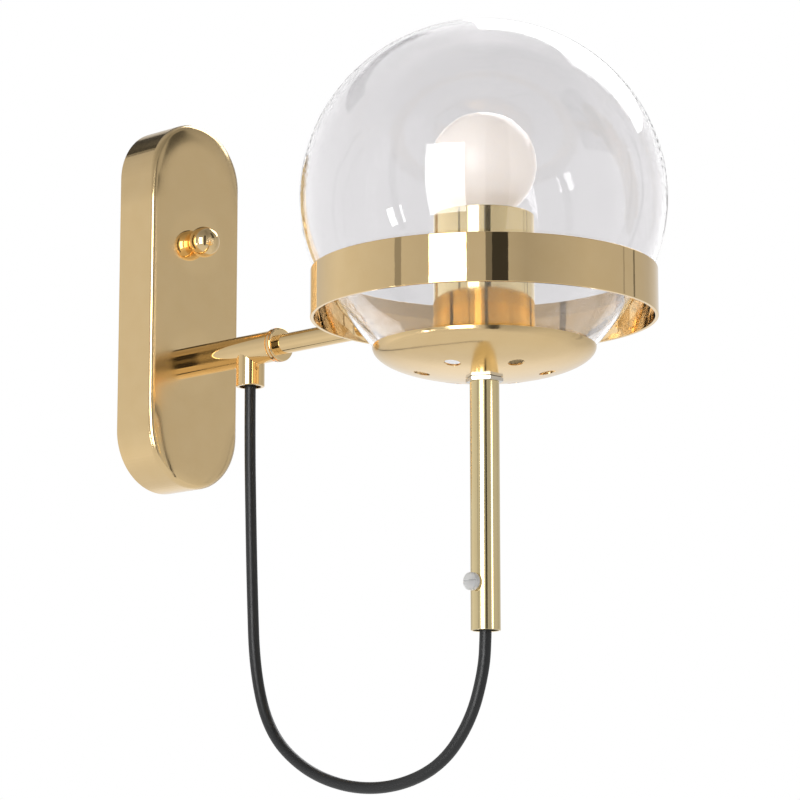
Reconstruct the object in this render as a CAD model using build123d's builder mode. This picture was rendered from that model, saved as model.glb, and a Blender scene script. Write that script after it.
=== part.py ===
from build123d import *
from math import acos, asin, cos, degrees, pi, radians, sin, sqrt, tan
import os

# Globe wall sconce, in millimetres.
# Origin: on the wall, at the middle of the backplate. +Z is up, and the lamp stands out along -Y.

# --- Driving dimensions -------------------------------------------------------------------

# Where things stand
reach = 262.0  # wall to the upright axis of the globe
arm_height = -34.0  # arm axis, above the middle of the backplate
finial_height = 37.5  # finial axis, above the middle of the backplate

# Backplate: a drawn pill-shaped shell with its open side to the wall
plate_width = 69.0
plate_height = 221.0
plate_depth = 30.0
plate_wall = 1.2
plate_edge_radius = 3.0
plate_hole_clearance = 0.2  # round the studs and nipples that pass through it

# Wall bracket: a strap with an ear at each end that the backplate slips over
strap_width = 26.0
strap_thickness = 2.5
strap_gap = 0.3  # between the ears and the inside of the backplate
ear_depth = 11.0
wall_slot_spacing = 150.0
wall_slot_width = 5.0
wall_slot_length = 14.0
wire_hole_radius = 8.0
wire_hole_height = -14.0

# Finial: a ball knob, cut flat where it meets the backplate, on a threaded stud from the bracket
stud_radius = 2.5
stud_fit = 0.05
stud_engagement = 6.5  # length of the stud inside the knob
stud_nut_flats = 8.0
stud_nut_height = 4.0
knob_radius = 9.2
knob_middle = 6.6  # from the backplate to the middle of the ball

# Arm: a thick sleeve at the wall, a collar, and a thinner tube that carries the hoop
sleeve_radius = 9.0
sleeve_wall = 1.2
sleeve_length = 69.0
sleeve_root_thickness = 6.0  # solid, tapped end against the backplate
collar_radius = 9.9
collar_height = 5.0
collar_groove_depth = 0.7
collar_groove_width = 0.8
collar_spigot_height = 9.0
arm_radius = 5.8
arm_wall = 1.1
arm_depth_in_collar = 10.0
arm_plug_height = 14.0
ring_screw_radius = 2.5
ring_screw_head_radius = 4.6
ring_screw_head_height = 2.6
ring_screw_engagement = 9.0
ring_screw_socket_flats = 3.0
ring_screw_socket_depth = 1.5
slip_fit = 0.05  # radial, between pieces that are pushed or screwed together

# Threaded nipple, washer and lock nut that clamp the arm to the backplate
nipple_radius = 5.0
nipple_bore_radius = 3.7
arm_nipple_length = 15.0
arm_nipple_inset = 0.5  # left between the nipple's end and the sleeve's hollow
arm_washer_radius = 11.0
arm_washer_height = 1.5
lock_nut_flats = 14.0
lock_nut_height = 3.0

# Cord gland under the sleeve
gland_reach = 77.7  # from the wall
gland_radius = 8.3
gland_bore_radius = 6.4
gland_drop = 12.6  # below the sleeve
gland_edge_radius = 0.6
gland_throat_radius = 4.0
gland_throat_depth = 4.5  # from the sleeve's underside to the wide bore
bush_recess = 3.4  # from the gland's mouth up to the bush

# Hoop that carries the globe, sized to it
hoop_wall = 2.0
hoop_height = 26.0
hoop_edge_radius = 0.4
arm_above_hoop_bottom = 8.0
seat_wall = 1.15  # soft band inside the hoop
seat_height = 8.0
globe_gap = 0.3  # between the globe and the band that it rests in

# Clear glass globe: a slightly flattened ball over a cone that narrows to the opening
globe_radius = 100.0
globe_half_height = 96.9
globe_wall = 2.0
globe_above_hoop_bottom = 66.8
cone_start_height = 5.2  # above the hoop's bottom
cone_length = 25.5  # measured upright
globe_lip_radius = 0.7

# Vented bowl under the globe
bowl_overlap = 4.5  # how far its rim stands above the globe's lip
bowl_depth = 17.0
bowl_wall = 1.0
vent_count = 6
vent_radius = 4.4
vent_circle_radius = 33.8
vent_phase = 12.4  # degrees from +X, as the bowl is turned in the photograph's lamp
lip_gasket_width = 5.0
lip_gasket_height = 1.4
seat_gap = 0.15  # between the globe's foot and the pieces that clamp it

# Clamp bridge across the globe's opening, and the nut on it
bridge_width = 26.0
bridge_thickness = 1.6
bridge_lift = 2.4  # its underside, above the globe's lip
bridge_nut_height = 3.0

# Hex lock nut and down tube under the bowl
hex_nut_flats = 18.0
hex_nut_height = 2.0
hex_nut_chamfer = 0.35
tube_radius = 8.0
tube_wall = 1.0
tube_length = 134.0
tube_edge_radius = 0.3
tube_bush_height = 12.0
tube_nipple_depth = 11.0  # length of the nipple inside the bush

# Inner cup and lampholder
cup_radius = 27.4
cup_wall = 1.0
cup_height = 73.0
cup_edge_radius = 0.4
holder_base_radius = 17.0
holder_base_height = 12.0
holder_base_lift = 16.0  # from the cup's floor up to the lampholder's base
holder_thread_depth = 8.0
holder_body_radius = 20.0
holder_body_height = 37.0
holder_bore_radius = 16.6
holder_floor = 3.0
screw_shell_inner = 13.35
screw_shell_wall = 0.5
screw_shell_height = 28.0
contact_radius = 3.2
contact_post_radius = 1.6
contact_height = 1.6
contact_post_height = 3.5
contact_gap = 0.3  # between the lamp's tip and the sprung contact

# Bulb: opal globe lamp with a 27 mm screw cap
bulb_radius = 29.0
bulb_neck_height = 37.9  # from the cap up to the middle of the ball
bulb_join_angle = -58.0  # degrees round the ball, where the neck leaves it
bulb_cap_radius = 13.25
bulb_cap_height = 22.0
bulb_cap_wall = 0.4
bulb_insulator_height = 3.0
bulb_insulator_radius = 9.0
bulb_tip_radius = 4.6
bulb_tip_height = 1.4
bulb_wall = 1.0

# Cord grip: clear thumb screw in the side of the down tube
grip_above_tube_end = 25.4
grip_shank_radius = 2.0
grip_head_radius = 4.8
grip_head_height = 3.8
grip_neck_gap = 1.6  # between the tube and the screw's head
grip_slot_width = 1.0
grip_slot_depth = 1.2
grip_fit = 0.08

# Cord
cord_radius = 3.25
cord_gap = 0.25  # round the lead where it passes through a bore
lead_end_above_tube_end = 8.0  # where the hanging loop meets the lead in the tube

# Terminal block and screws inside the backplate
block_width = 22.0
block_depth = 11.0
block_height = 12.0
block_at_height = 8.0
block_wire_radius = 2.2
block_screw_radius = 1.7
block_screw_depth = 4.0
block_way_spacing = 7.0
block_ways = 3
block_screw_inset = 0.5
block_edge_radius = 1.0
earth_screw_radius = 2.0
earth_screw_head_radius = 4.0
earth_screw_head_height = 2.4
earth_screw_at_height = -55.0

# --- Places worked out from the dimensions ------------------------------------------------

hoop_bottom = arm_height - arm_above_hoop_bottom
hoop_top = hoop_bottom + hoop_height
globe_centre = hoop_bottom + globe_above_hoop_bottom
cone_start = hoop_bottom + cone_start_height
globe_lip = cone_start - cone_length

# Globe: where each skin's ball meets its cone, and the cone's foot. The cone leaves the ball
# along its slope there.
cone_share = (globe_centre - cone_start) / globe_half_height
cone_slope = globe_radius * cone_share / (globe_half_height * sqrt(1 - cone_share**2))
ball_start_angle = -degrees(asin(cone_share))


def ball_radius_at(height):
    """Radius of the globe's outside at a height."""
    return globe_radius * sqrt(1 - ((height - globe_centre) / globe_half_height) ** 2)


def ball_meets_cone(inset):
    """Point where one skin of the globe turns into its cone."""
    return (
        (globe_radius - inset) * sqrt(1 - cone_share**2),
        globe_centre - (globe_half_height - inset) * cone_share,
    )


def cone_radius_at(height, inset):
    """Radius of one skin of the cone at a height."""
    meet = ball_meets_cone(inset)
    return meet[0] - cone_slope * (meet[1] - height)


# The band's top edge is where the globe comes nearest to the hoop
seat_top = hoop_top - hoop_edge_radius
seat_inner = ball_radius_at(seat_top) + globe_gap
hoop_inner = seat_inner + seat_wall + slip_fit
hoop_radius = hoop_inner + hoop_wall

# The bowl's rim closes on the outside of the cone
bowl_rim = globe_lip + bowl_overlap
bowl_inner = cone_radius_at(bowl_rim, 0) + seat_gap
bowl_radius = bowl_inner + bowl_wall
bowl_bottom = bowl_rim - bowl_depth
lip_gasket_top = globe_lip - seat_gap
lip_gasket_bottom = lip_gasket_top - lip_gasket_height
gasket_share = (bowl_rim - lip_gasket_bottom) / (bowl_depth - bowl_wall)
lip_gasket_outer = bowl_inner * sqrt(1 - gasket_share**2) - seat_gap

# The bridge's ends catch the inside of the cone
bridge_bottom = globe_lip + bridge_lift
bridge_top = bridge_bottom + bridge_thickness
bridge_end_radius = cone_radius_at(bridge_bottom, globe_wall) - seat_gap
cup_bottom = bridge_top
nut_bottom = bowl_bottom - hex_nut_height
tube_top = nut_bottom
tube_bottom = tube_top - tube_length
plate_front = plate_depth
sleeve_end = plate_front + sleeve_length
collar_end = sleeve_end + collar_height
arm_start = collar_end - arm_depth_in_collar
arm_end = reach - hoop_radius
gland_bottom = arm_height - sleeve_radius - gland_drop
bush_bottom = gland_bottom + bush_recess
lead_bottom = tube_bottom + lead_end_above_tube_end
holder_bottom = cup_bottom + cup_wall + holder_base_lift
holder_body_bottom = holder_bottom + holder_base_height
holder_floor_top = holder_body_bottom + holder_floor
contact_top = holder_floor_top + contact_post_height + contact_height
tip_bottom = contact_top + contact_gap
cap_bottom = tip_bottom + bulb_tip_height + bulb_insulator_height
cap_top = cap_bottom + bulb_cap_height
bulb_centre = cap_top + bulb_neck_height
nipple_bottom = tube_top - tube_nipple_depth
nipple_top = holder_bottom + holder_thread_depth
grip_height = tube_bottom + grip_above_tube_end

# Sketch planes. On the wall plane, x is across, y is up and z is out from the wall.
WALL = Plane(origin=(0, 0, 0), x_dir=(1, 0, 0), z_dir=(0, -1, 0))
ARM = Plane(origin=(0, 0, arm_height), x_dir=(1, 0, 0), z_dir=(0, -1, 0))
FINIAL = Plane(origin=(0, 0, finial_height), x_dir=(1, 0, 0), z_dir=(0, -1, 0))
# Section through the head: x is the radius, y is the height
HEAD = Plane(origin=(0, -reach, 0), x_dir=(1, 0, 0), z_dir=(0, -1, 0))
HEAD_AXIS = Axis((0, -reach, 0), (0, 0, 1))
# Sections through the arm and the finial: x is the distance from the wall, y is the radius
ARM_SECTION = Plane(origin=(0, 0, arm_height), x_dir=(0, -1, 0), z_dir=(1, 0, 0))
ARM_AXIS = Axis((0, 0, arm_height), (0, -1, 0))
FINIAL_SECTION = Plane(origin=(0, 0, finial_height), x_dir=(0, -1, 0), z_dir=(1, 0, 0))
FINIAL_AXIS = Axis((0, 0, finial_height), (0, -1, 0))


def head_plane(height):
    """Level plane through the head's axis at a height."""
    return Plane(origin=(0, -reach, height), x_dir=(1, 0, 0), z_dir=(0, 0, 1))


def gland_plane(height):
    """Level plane through the gland's axis at a height."""
    return Plane(origin=(0, -gland_reach, height), x_dir=(1, 0, 0), z_dir=(0, 0, 1))


def hex_radius(flats):
    """Distance from the middle of a hexagon to its corners."""
    return flats / 2 / cos(radians(30))


# --- Backplate and bracket ----------------------------------------------------------------

with BuildPart() as backplate:
    with BuildSketch(WALL):
        SlotOverall(plate_height, plate_width, rotation=90)
    extrude(amount=plate_depth)
    fillet(backplate.faces().sort_by(Axis.Y)[0].edges(), plate_edge_radius)
    offset(
        amount=-plate_wall, openings=backplate.faces().sort_by(Axis.Y)[-1], kind=Kind.INTERSECTION
    )
    with BuildSketch(WALL):
        with Locations((0, finial_height)):
            Circle(stud_radius + plate_hole_clearance)
        with Locations((0, arm_height)):
            Circle(nipple_radius + plate_hole_clearance)
    extrude(amount=plate_depth, mode=Mode.SUBTRACT)
backplate.part.label = "backplate"

inner_width = plate_width - 2 * (plate_wall + strap_gap)
inner_height = plate_height - 2 * (plate_wall + strap_gap)
with BuildPart() as wall_bracket:
    with BuildSketch(WALL):
        SlotOverall(inner_height, inner_width, rotation=90)
    extrude(amount=ear_depth)
    with BuildSketch(WALL.offset(strap_thickness)):
        SlotOverall(inner_height - 2 * strap_thickness, inner_width - 2 * strap_thickness, rotation=90)
    extrude(amount=ear_depth, mode=Mode.SUBTRACT)
    with BuildSketch(WALL):
        Rectangle(strap_width, plate_height)
    extrude(amount=ear_depth, mode=Mode.INTERSECT)
    with BuildSketch(WALL):
        with Locations((0, wall_slot_spacing / 2), (0, -wall_slot_spacing / 2)):
            SlotOverall(wall_slot_length, wall_slot_width, rotation=90)
        with Locations((0, wire_hole_height)):
            Circle(wire_hole_radius)
        with Locations((0, finial_height)):
            Circle(stud_radius + stud_fit)
        with Locations((0, earth_screw_at_height)):
            Circle(earth_screw_radius + stud_fit)
    extrude(amount=strap_thickness, mode=Mode.SUBTRACT)
wall_bracket.part.label = "wall_bracket"

stud_start = 0.4
stud_end = plate_front + stud_engagement
with BuildPart() as finial_stud:
    with BuildSketch(FINIAL.offset(stud_start)):
        Circle(stud_radius)
    extrude(amount=stud_end - stud_start)
    chamfer(finial_stud.edges().filter_by(GeomType.CIRCLE), stud_radius / 6)
finial_stud.part.label = "finial_stud"

with BuildPart() as stud_nut:
    with BuildSketch(FINIAL.offset(strap_thickness)):
        RegularPolygon(hex_radius(stud_nut_flats), 6)
        Circle(stud_radius + stud_fit, mode=Mode.SUBTRACT)
    extrude(amount=stud_nut_height)
stud_nut.part.label = "stud_nut"

# Finial knob: a ball with a flat foot and a blind tapped hole
ball_middle = plate_front + knob_middle
foot_angle = degrees(acos(knob_middle / knob_radius))  # round the ball, from its back to the foot
foot_radius = sqrt(knob_radius**2 - knob_middle**2)
with BuildPart() as finial_knob:
    with BuildSketch(FINIAL_SECTION):
        with BuildLine():
            Polyline((ball_middle + knob_radius, 0), (plate_front, 0), (plate_front, foot_radius))
            # The ball in two arcs that meet at its widest
            for start, size in ((180 - foot_angle, foot_angle - 90), (0, 90)):
                CenterArc((ball_middle, 0), knob_radius, start_angle=start, arc_size=size)
        make_face()
    revolve(axis=FINIAL_AXIS)
    with BuildSketch(FINIAL.offset(plate_front)):
        Circle(stud_radius + stud_fit)
    extrude(amount=stud_engagement + stud_fit, mode=Mode.SUBTRACT)
finial_knob.part.label = "finial_knob"

# --- Arm ----------------------------------------------------------------------------------

with BuildPart() as arm_sleeve:
    with BuildSketch(ARM.offset(plate_front)):
        Circle(sleeve_radius)
    extrude(amount=sleeve_length)
    with BuildSketch(ARM.offset(plate_front + sleeve_root_thickness)):
        Circle(sleeve_radius - sleeve_wall)
    extrude(amount=sleeve_length - sleeve_root_thickness, mode=Mode.SUBTRACT)
    with BuildSketch(ARM.offset(plate_front)):
        Circle(nipple_radius + slip_fit)
    extrude(amount=sleeve_root_thickness, mode=Mode.SUBTRACT)
    with BuildSketch(gland_plane(arm_height)):
        Circle(gland_throat_radius)
    extrude(amount=-sleeve_radius, mode=Mode.SUBTRACT)
arm_sleeve.part.label = "arm_sleeve"

# Collar: a round bead with a groove each side of its middle, and a spigot inside the sleeve
groove_places = (
    sleeve_end + collar_height / 4,
    sleeve_end + collar_height * 3 / 4,
)
with BuildPart() as sleeve_collar:
    with BuildSketch(ARM.offset(sleeve_end)):
        Circle(collar_radius)
    extrude(amount=collar_height)
    fillet(sleeve_collar.edges().filter_by(GeomType.CIRCLE), collar_height / 4)
    with BuildSketch(ARM.offset(sleeve_end - collar_spigot_height)):
        Circle(sleeve_radius - sleeve_wall - slip_fit)
    extrude(amount=collar_spigot_height)
    with BuildSketch(ARM.offset(sleeve_end - collar_spigot_height)):
        Circle(arm_radius + slip_fit)
    extrude(amount=collar_spigot_height + collar_height, mode=Mode.SUBTRACT)
    with BuildSketch(ARM_SECTION):
        with Locations(*[(place, collar_radius) for place in groove_places]):
            Rectangle(collar_groove_width, 2 * collar_groove_depth)
    revolve(axis=ARM_AXIS, mode=Mode.SUBTRACT)
sleeve_collar.part.label = "sleeve_collar"

with BuildPart() as arm_tube:
    with BuildSketch(ARM.offset(arm_start)):
        Circle(arm_radius)
        Circle(arm_radius - arm_wall, mode=Mode.SUBTRACT)
    extrude(amount=arm_end - arm_start + hoop_wall)
    with BuildSketch(head_plane(hoop_bottom)):
        Circle(hoop_radius + slip_fit)
    extrude(amount=hoop_height, mode=Mode.SUBTRACT)
arm_tube.part.label = "arm_tube"

with BuildPart() as arm_end_plug:
    with BuildSketch(ARM.offset(arm_end - arm_plug_height)):
        Circle(arm_radius - arm_wall - slip_fit)
    extrude(amount=arm_plug_height + hoop_wall)
    with BuildSketch(head_plane(hoop_bottom)):
        Circle(hoop_radius + slip_fit)
    extrude(amount=hoop_height, mode=Mode.SUBTRACT)
    with BuildSketch(ARM.offset(arm_end - ring_screw_engagement - slip_fit)):
        Circle(ring_screw_radius + slip_fit)
    extrude(amount=arm_plug_height, mode=Mode.SUBTRACT)
arm_end_plug.part.label = "arm_end_plug"

# The screw's flat head seats on the hoop's curved inner wall
head_seat = reach - sqrt(hoop_inner**2 - ring_screw_head_radius**2) + slip_fit
with BuildPart() as ring_screw:
    with BuildSketch(ARM.offset(arm_end - ring_screw_engagement)):
        Circle(ring_screw_radius)
    extrude(amount=head_seat - arm_end + ring_screw_engagement)
    with BuildSketch(ARM.offset(head_seat)):
        Circle(ring_screw_head_radius)
    extrude(amount=ring_screw_head_height)
    fillet(ring_screw.faces().sort_by(Axis.Y)[0].edges(), ring_screw_head_height / 3)
    with BuildSketch(ARM.offset(head_seat + ring_screw_head_height)):
        RegularPolygon(hex_radius(ring_screw_socket_flats), 6)
    extrude(amount=-ring_screw_socket_depth, mode=Mode.SUBTRACT)
ring_screw.part.label = "ring_screw"

plate_inside = plate_front - plate_wall
arm_nipple_end = plate_front + sleeve_root_thickness - arm_nipple_inset
with BuildPart() as arm_nipple:
    with BuildSketch(ARM.offset(arm_nipple_end)):
        Circle(nipple_radius)
        Circle(nipple_bore_radius, mode=Mode.SUBTRACT)
    extrude(amount=-arm_nipple_length)
arm_nipple.part.label = "arm_nipple"

with BuildPart() as arm_washer:
    with BuildSketch(ARM.offset(plate_inside)):
        Circle(arm_washer_radius)
        Circle(nipple_radius + plate_hole_clearance, mode=Mode.SUBTRACT)
    extrude(amount=-arm_washer_height)
arm_washer.part.label = "arm_washer"

with BuildPart() as arm_lock_nut:
    with BuildSketch(ARM.offset(plate_inside - arm_washer_height)):
        RegularPolygon(hex_radius(lock_nut_flats), 6)
        Circle(nipple_radius + slip_fit, mode=Mode.SUBTRACT)
    extrude(amount=-lock_nut_height)
arm_lock_nut.part.label = "arm_lock_nut"

# --- Cord gland ---------------------------------------------------------------------------

throat_bottom = arm_height - sleeve_radius - gland_throat_depth
with BuildPart() as cord_gland:
    with BuildSketch(gland_plane(gland_bottom)):
        Circle(gland_radius)
    extrude(amount=arm_height - gland_bottom)
    fillet(cord_gland.edges().filter_by(GeomType.CIRCLE).sort_by(Axis.Z)[0], gland_edge_radius)
    with BuildSketch(ARM.offset(plate_front)):
        Circle(sleeve_radius + slip_fit)
    extrude(amount=sleeve_length, mode=Mode.SUBTRACT)
    with BuildSketch(gland_plane(gland_bottom)):
        Circle(gland_bore_radius)
    extrude(amount=throat_bottom - gland_bottom, mode=Mode.SUBTRACT)
    with BuildSketch(gland_plane(gland_bottom)):
        Circle(gland_throat_radius)
    extrude(amount=arm_height - gland_bottom, mode=Mode.SUBTRACT)
cord_gland.part.label = "cord_gland"

with BuildPart() as gland_bush:
    with BuildSketch(gland_plane(bush_bottom)):
        Circle(gland_bore_radius - slip_fit)
    extrude(amount=throat_bottom - bush_bottom)
gland_bush.part.label = "gland_bush"

# --- Hoop and the band that the globe rests in --------------------------------------------

with BuildPart() as ring_hoop:
    with BuildSketch(head_plane(hoop_bottom)):
        Circle(hoop_radius)
        Circle(hoop_inner, mode=Mode.SUBTRACT)
    extrude(amount=hoop_height)
    fillet(ring_hoop.edges().filter_by(GeomType.CIRCLE), hoop_edge_radius)
    with BuildSketch(ARM.offset(arm_end - hoop_wall)):
        Circle(ring_screw_radius + slip_fit)
    extrude(amount=3 * hoop_wall, mode=Mode.SUBTRACT)
ring_hoop.part.label = "ring_hoop"

with BuildPart() as seat_band:
    with BuildSketch(head_plane(seat_top)):
        Circle(hoop_inner - slip_fit)
        Circle(seat_inner, mode=Mode.SUBTRACT)
    extrude(amount=-seat_height)
seat_band.part.label = "seat_band"

# --- Globe --------------------------------------------------------------------------------


outer_foot = (cone_radius_at(globe_lip, 0), globe_lip)
inner_foot = (cone_radius_at(globe_lip, globe_wall), globe_lip)
with BuildPart() as glass_globe:
    with BuildSketch(HEAD) as globe_profile:
        with BuildLine():
            for inset in (0, globe_wall):
                # Each skin in two arcs that meet at the equator
                for start, size in ((0, ball_start_angle), (90, -90)):
                    EllipticalCenterArc(
                        (0, globe_centre),
                        globe_radius - inset,
                        globe_half_height - inset,
                        start_angle=start,
                        arc_size=size,
                    )
            Polyline(ball_meets_cone(0), outer_foot, inner_foot, ball_meets_cone(globe_wall))
            Line(
                (0, globe_centre + globe_half_height - globe_wall),
                (0, globe_centre + globe_half_height),
            )
        make_face()
        fillet(globe_profile.vertices().group_by(Axis.Y)[0], globe_lip_radius)
    revolve(axis=HEAD_AXIS)
glass_globe.part.label = "glass_globe"

with BuildPart() as lip_gasket:
    with BuildSketch(head_plane(lip_gasket_top)):
        Circle(lip_gasket_outer)
        Circle(lip_gasket_outer - lip_gasket_width, mode=Mode.SUBTRACT)
    extrude(amount=-lip_gasket_height)
lip_gasket.part.label = "lip_gasket"

# --- Vented bowl, bridge and nuts ---------------------------------------------------------

with BuildPart() as vented_bowl:
    with BuildSketch(HEAD):
        with BuildLine():
            EllipticalCenterArc(
                (0, bowl_rim), bowl_radius, bowl_depth, start_angle=-90, arc_size=90
            )
            Line((bowl_radius, bowl_rim), (bowl_inner, bowl_rim))
            EllipticalCenterArc(
                (0, bowl_rim),
                bowl_inner,
                bowl_depth - bowl_wall,
                start_angle=-90,
                arc_size=90,
            )
            Line((0, bowl_bottom), (0, bowl_bottom + bowl_wall))
        make_face()
    revolve(axis=HEAD_AXIS)
    with BuildSketch(head_plane(bowl_bottom)):
        Circle(nipple_radius + slip_fit)
        with PolarLocations(vent_circle_radius, vent_count, start_angle=vent_phase):
            Circle(vent_radius)
    extrude(amount=bowl_depth, mode=Mode.SUBTRACT)
vented_bowl.part.label = "vented_bowl"

with BuildPart() as clamp_bridge:
    with BuildSketch(head_plane(bridge_bottom)):
        Circle(bridge_end_radius)
        Rectangle(2 * bridge_end_radius, bridge_width, mode=Mode.INTERSECT)
        Circle(nipple_radius + slip_fit, mode=Mode.SUBTRACT)
    extrude(amount=bridge_thickness)
clamp_bridge.part.label = "clamp_bridge"

with BuildPart() as bridge_nut:
    with BuildSketch(head_plane(cup_bottom + cup_wall)):
        RegularPolygon(hex_radius(lock_nut_flats), 6)
        Circle(nipple_radius + slip_fit, mode=Mode.SUBTRACT)
    extrude(amount=bridge_nut_height)
bridge_nut.part.label = "bridge_nut"

with BuildPart() as hex_lock_nut:
    with BuildSketch(head_plane(nut_bottom)):
        RegularPolygon(hex_radius(hex_nut_flats), 6)
    extrude(amount=hex_nut_height)
    with BuildSketch(HEAD):
        with BuildLine():
            corner = hex_radius(hex_nut_flats)
            Polyline(
                (corner - hex_nut_chamfer, nut_bottom),
                (corner + hex_nut_chamfer, nut_bottom),
                (corner + hex_nut_chamfer, nut_bottom + hex_nut_chamfer),
                (corner, nut_bottom + hex_nut_chamfer),
                close=True,
            )
        make_face()
    revolve(axis=HEAD_AXIS, mode=Mode.SUBTRACT)
    with BuildSketch(head_plane(nut_bottom)):
        Circle(nipple_radius + slip_fit)
    extrude(amount=hex_nut_height, mode=Mode.SUBTRACT)
hex_lock_nut.part.label = "hex_lock_nut"

with BuildPart() as head_nipple:
    with BuildSketch(head_plane(nipple_bottom)):
        Circle(nipple_radius)
        Circle(nipple_bore_radius, mode=Mode.SUBTRACT)
    extrude(amount=nipple_top - nipple_bottom)
head_nipple.part.label = "head_nipple"

# --- Down tube, its bush, the lead in it and the cord grip --------------------------------

with BuildPart() as down_tube:
    with BuildSketch(head_plane(tube_bottom)):
        Circle(tube_radius)
        Circle(tube_radius - tube_wall, mode=Mode.SUBTRACT)
    extrude(amount=tube_length)
    fillet(down_tube.edges().filter_by(GeomType.CIRCLE), tube_edge_radius)
    with BuildSketch(Plane(origin=(0, -reach, grip_height), x_dir=(0, 1, 0), z_dir=(-1, 0, 0))):
        Circle(grip_shank_radius + grip_fit)
    extrude(amount=2 * tube_radius, mode=Mode.SUBTRACT)
down_tube.part.label = "down_tube"

with BuildPart() as tube_bush:
    with BuildSketch(head_plane(tube_top)):
        Circle(tube_radius - tube_wall - slip_fit)
        Circle(nipple_radius + slip_fit, mode=Mode.SUBTRACT)
    extrude(amount=-tube_bush_height)
tube_bush.part.label = "tube_bush"

with BuildPart() as tube_lead:
    with BuildSketch(head_plane(lead_bottom)):
        Circle(cord_radius)
    extrude(amount=nipple_top - lead_bottom)
tube_lead.part.label = "tube_lead"

# Clear thumb screw: shank through the tube's wall up to the lead, round head outside
shank_start = cord_radius + cord_gap
head_start = tube_radius + grip_neck_gap
with BuildPart() as cord_grip_screw:
    with BuildSketch(Plane(origin=(-shank_start, -reach, grip_height), x_dir=(0, 1, 0), z_dir=(-1, 0, 0))):
        Circle(grip_shank_radius)
    extrude(amount=head_start - shank_start)
    with BuildSketch(Plane(origin=(-head_start, -reach, grip_height), x_dir=(0, 1, 0), z_dir=(-1, 0, 0))):
        Circle(grip_head_radius)
    extrude(amount=grip_head_height)
    fillet(cord_grip_screw.faces().sort_by(Axis.X)[0].edges(), grip_head_height / 2.2)
    with BuildSketch(
        Plane(
            origin=(-head_start - grip_head_height, -reach, grip_height),
            x_dir=(0, 1, 0),
            z_dir=(-1, 0, 0),
        )
    ):
        Rectangle(2 * grip_head_radius, grip_slot_width)
    extrude(amount=-grip_slot_depth, mode=Mode.SUBTRACT)
cord_grip_screw.part.label = "cord_grip_screw"

# --- Inner cup and lampholder -------------------------------------------------------------

with BuildPart() as inner_cup:
    with BuildSketch(head_plane(cup_bottom)):
        Circle(cup_radius)
    extrude(amount=cup_height)
    with BuildSketch(head_plane(cup_bottom + cup_wall)):
        Circle(cup_radius - cup_wall)
    extrude(amount=cup_height - cup_wall, mode=Mode.SUBTRACT)
    fillet(inner_cup.edges().filter_by(GeomType.CIRCLE).group_by(Axis.Z)[-1], cup_edge_radius)
    with BuildSketch(head_plane(cup_bottom)):
        Circle(nipple_radius + slip_fit)
    extrude(amount=cup_wall, mode=Mode.SUBTRACT)
inner_cup.part.label = "inner_cup"

with BuildPart() as holder_base:
    with BuildSketch(head_plane(holder_bottom)):
        Circle(holder_base_radius)
    extrude(amount=holder_base_height)
    fillet(holder_base.edges().filter_by(GeomType.CIRCLE).sort_by(Axis.Z)[0], holder_base_height / 4)
    with BuildSketch(head_plane(holder_bottom)):
        Circle(nipple_radius + slip_fit)
    extrude(amount=holder_thread_depth + slip_fit, mode=Mode.SUBTRACT)
holder_base.part.label = "holder_base"

with BuildPart() as holder_body:
    with BuildSketch(head_plane(holder_body_bottom)):
        Circle(holder_body_radius)
    extrude(amount=holder_body_height)
    with BuildSketch(head_plane(holder_body_bottom + holder_floor)):
        Circle(holder_bore_radius)
    extrude(amount=holder_body_height - holder_floor, mode=Mode.SUBTRACT)
    fillet(holder_body.edges().filter_by(GeomType.CIRCLE).group_by(Axis.Z)[-1], cup_edge_radius)
holder_body.part.label = "holder_body"

with BuildPart() as screw_shell:
    with BuildSketch(head_plane(holder_floor_top)):
        Circle(holder_bore_radius - slip_fit)
        Circle(screw_shell_inner, mode=Mode.SUBTRACT)
    extrude(amount=screw_shell_wall)
    with BuildSketch(head_plane(holder_floor_top)):
        Circle(screw_shell_inner + screw_shell_wall)
        Circle(screw_shell_inner, mode=Mode.SUBTRACT)
    extrude(amount=screw_shell_height)
screw_shell.part.label = "screw_shell"

# Sprung centre contact: a post on the floor with a round head just under the lamp's tip
with BuildPart() as centre_contact:
    with BuildSketch(head_plane(holder_floor_top)):
        Circle(contact_post_radius)
    extrude(amount=contact_post_height)
    with BuildSketch(head_plane(contact_top)):
        Circle(contact_radius)
    extrude(amount=-contact_height)
centre_contact.part.label = "centre_contact"

# --- Bulb ---------------------------------------------------------------------------------

# The opal envelope is a thin shell, open where its neck stands on the cap
join = radians(bulb_join_angle)
with BuildPart() as bulb_envelope:
    for inset, mode in ((0, Mode.ADD), (bulb_wall, Mode.SUBTRACT)):
        skin_radius = bulb_radius - inset
        neck_foot = (bulb_cap_radius - bulb_cap_wall - inset, cap_top)
        neck_top = (skin_radius * cos(join), bulb_centre + skin_radius * sin(join))
        with BuildSketch(HEAD):
            with BuildLine():
                Line((0, cap_top), neck_foot)
                Spline([neck_foot, neck_top], tangents=[(0, 1), (-sin(join), cos(join))])
                CenterArc(
                    (0, bulb_centre),
                    skin_radius,
                    start_angle=bulb_join_angle,
                    arc_size=90 - bulb_join_angle,
                )
                Line((0, bulb_centre + skin_radius), (0, cap_top))
            make_face()
        revolve(axis=HEAD_AXIS, mode=mode)
bulb_envelope.part.label = "bulb_envelope"

with BuildPart() as bulb_cap:
    with BuildSketch(head_plane(cap_bottom)):
        Circle(bulb_cap_radius)
    extrude(amount=bulb_cap_height)
bulb_cap.part.label = "bulb_cap"

with BuildPart() as bulb_insulator:
    with BuildSketch(head_plane(cap_bottom)):
        Circle(bulb_insulator_radius)
    with BuildSketch(head_plane(cap_bottom - bulb_insulator_height)):
        Circle(bulb_tip_radius)
    loft()
bulb_insulator.part.label = "bulb_insulator"

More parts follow.
